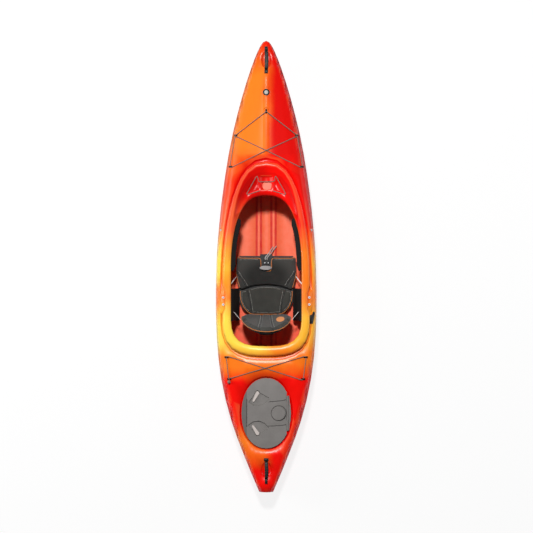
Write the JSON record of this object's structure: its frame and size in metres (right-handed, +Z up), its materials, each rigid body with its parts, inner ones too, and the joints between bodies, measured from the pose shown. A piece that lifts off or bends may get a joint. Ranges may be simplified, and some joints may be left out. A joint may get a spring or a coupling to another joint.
{
  "type": "recreational_kayak",
  "caption": "Recreational sit-inside kayak with a red to amber moulded hull, padded black seat, deck bungees, oval stern hatch and drop-down skeg",
  "frame": {"origin": "On the plane the boat rests on, under the middle of its length and beam", "axes": "+X to starboard, +Y to the bow, +Z up"},
  "size_m": [0.716, 3.2, 0.3806],
  "materials": {
    "moulded_polyethylene": "moulded polyethylene, red blended to orange and amber along the cockpit, soft gloss",
    "black_nylon": "black moulded nylon, matte",
    "grey_hatch_plastic": "grey moulded plastic, satin",
    "rubber_seal": "soft rubber seal",
    "seat_fabric": "charcoal woven fabric with orange piping",
    "closed_cell_foam": "black closed-cell foam",
    "webbing": "black woven webbing",
    "shock_cord": "brown and grey braided shock cord",
    "braided_cord": "pale grey braided pull cord",
    "stainless_steel": "stainless steel"
  },
  "bodies": {
    "boat": {"hull_bow": "moulded_polyethylene", "hull_stern": "moulded_polyethylene", "deck_bow": "moulded_polyethylene", "deck_front": "moulded_polyethylene", "deck_rear": "moulded_polyethylene", "deck_stern": "moulded_polyethylene", "bow_handle": "black_nylon", "bow_handle_cap_front": "black_nylon", "bow_handle_cap_rear": "black_nylon", "stern_handle": "black_nylon", "stern_handle_cap_front": "black_nylon", "stern_handle_cap_rear": "black_nylon", "bow_eye_center": "stainless_steel", "bow_eye_mid_L": "stainless_steel", "bow_eye_mid_R": "stainless_steel", "bow_eye_rear_L": "stainless_steel", "bow_eye_rear_R": "stainless_steel", "stern_eye_front_L": "stainless_steel", "stern_eye_front_R": "stainless_steel", "stern_eye_rear_L": "stainless_steel", "stern_eye_rear_R": "stainless_steel", "bow_bungee": "shock_cord", "stern_bungee": "shock_cord", "console_cord": "shock_cord", "thigh_pad_L": "closed_cell_foam", "thigh_pad_R": "closed_cell_foam", "foot_rail_L": "black_nylon", "foot_rail_R": "black_nylon", "brace_screw_L": "stainless_steel", "brace_screw_R": "stainless_steel", "seat_hanger_L": "black_nylon", "seat_hanger_R": "black_nylon", "seat_bolt_L_front": "stainless_steel", "seat_bolt_L_rear": "stainless_steel", "seat_bolt_R_front": "stainless_steel", "seat_bolt_R_rear": "stainless_steel", "seat_pan": "black_nylon", "seat_cushion": "seat_fabric", "stern_bulkhead": "closed_cell_foam", "hatch_gasket": "rubber_seal", "hatch_hinge_leaf": "grey_hatch_plastic", "skeg_box": "black_nylon", "skeg_cleat": "black_nylon"},
    "leg_lift": {"leg_lift_plate": "black_nylon", "thigh_cushion": "seat_fabric", "cord_cleat": "black_nylon", "pull_handle": "grey_hatch_plastic", "pull_cord_A": "braided_cord", "pull_cord_B": "braided_cord"},
    "seat_back": {"back_frame": "black_nylon", "back_cushion": "seat_fabric", "back_strap_L": "webbing", "back_strap_R": "webbing"},
    "hatch": {"hatch_cover": "grey_hatch_plastic"},
    "latch_front": {"latch_lever_front": "black_nylon"},
    "latch_rear": {"latch_lever_rear": "black_nylon"},
    "pedal_L": {"foot_pedal_L": "black_nylon"},
    "pedal_R": {"foot_pedal_R": "black_nylon"},
    "skeg": {"skeg_blade": "black_nylon"},
    "skeg_control": {"skeg_knob": "black_nylon"}
  },
  "joints": [
    {"name": "leg_lift_hinge", "type": "hinge", "parent": "boat", "child": "leg_lift", "pos_m": [0, -0.15, 0.063], "axis": [1, 0, 0], "range_deg": [0, 12]},
    {"name": "seat_back_hinge", "type": "hinge", "parent": "boat", "child": "seat_back", "pos_m": [0, -0.356, 0.078], "axis": [1, 0, 0], "range_deg": [-15, 12]},
    {"name": "hatch_hinge", "type": "hinge", "parent": "boat", "child": "hatch", "pos_m": [0.152, -1.037, 0.2615], "axis": [0, 1, 0], "range_deg": [0, 115]},
    {"name": "latch_front_turn", "type": "hinge", "parent": "hatch", "child": "latch_front", "pos_m": [-0.062, -0.895, 0.256], "axis": [0, 0, 1], "range_deg": [0, 78]},
    {"name": "latch_rear_turn", "type": "hinge", "parent": "hatch", "child": "latch_rear", "pos_m": [-0.062, -1.18, 0.256], "axis": [0, 0, 1], "range_deg": [-78, 0]},
    {"name": "pedal_L_slide", "type": "slide", "parent": "boat", "child": "pedal_L", "axis": [0.1289, 0.9917, 0], "range_m": [-0.12, 0.12]},
    {"name": "pedal_R_slide", "type": "slide", "parent": "boat", "child": "pedal_R", "axis": [-0.1289, 0.9917, 0], "range_m": [-0.12, 0.12]},
    {"name": "skeg_hinge", "type": "hinge", "parent": "boat", "child": "skeg", "pos_m": [0, -0.925, 0.04], "axis": [1, 0, 0], "range_deg": [0, 50]},
    {"name": "skeg_control_slide", "type": "slide", "parent": "boat", "child": "skeg_control", "axis": [0, -1, 0], "range_m": [0, 0.06]}
  ],
  "couplings": [
    {"joint": "skeg_control_slide", "follows": "skeg_hinge", "m_per_rad": 0.0687}
  ]
}
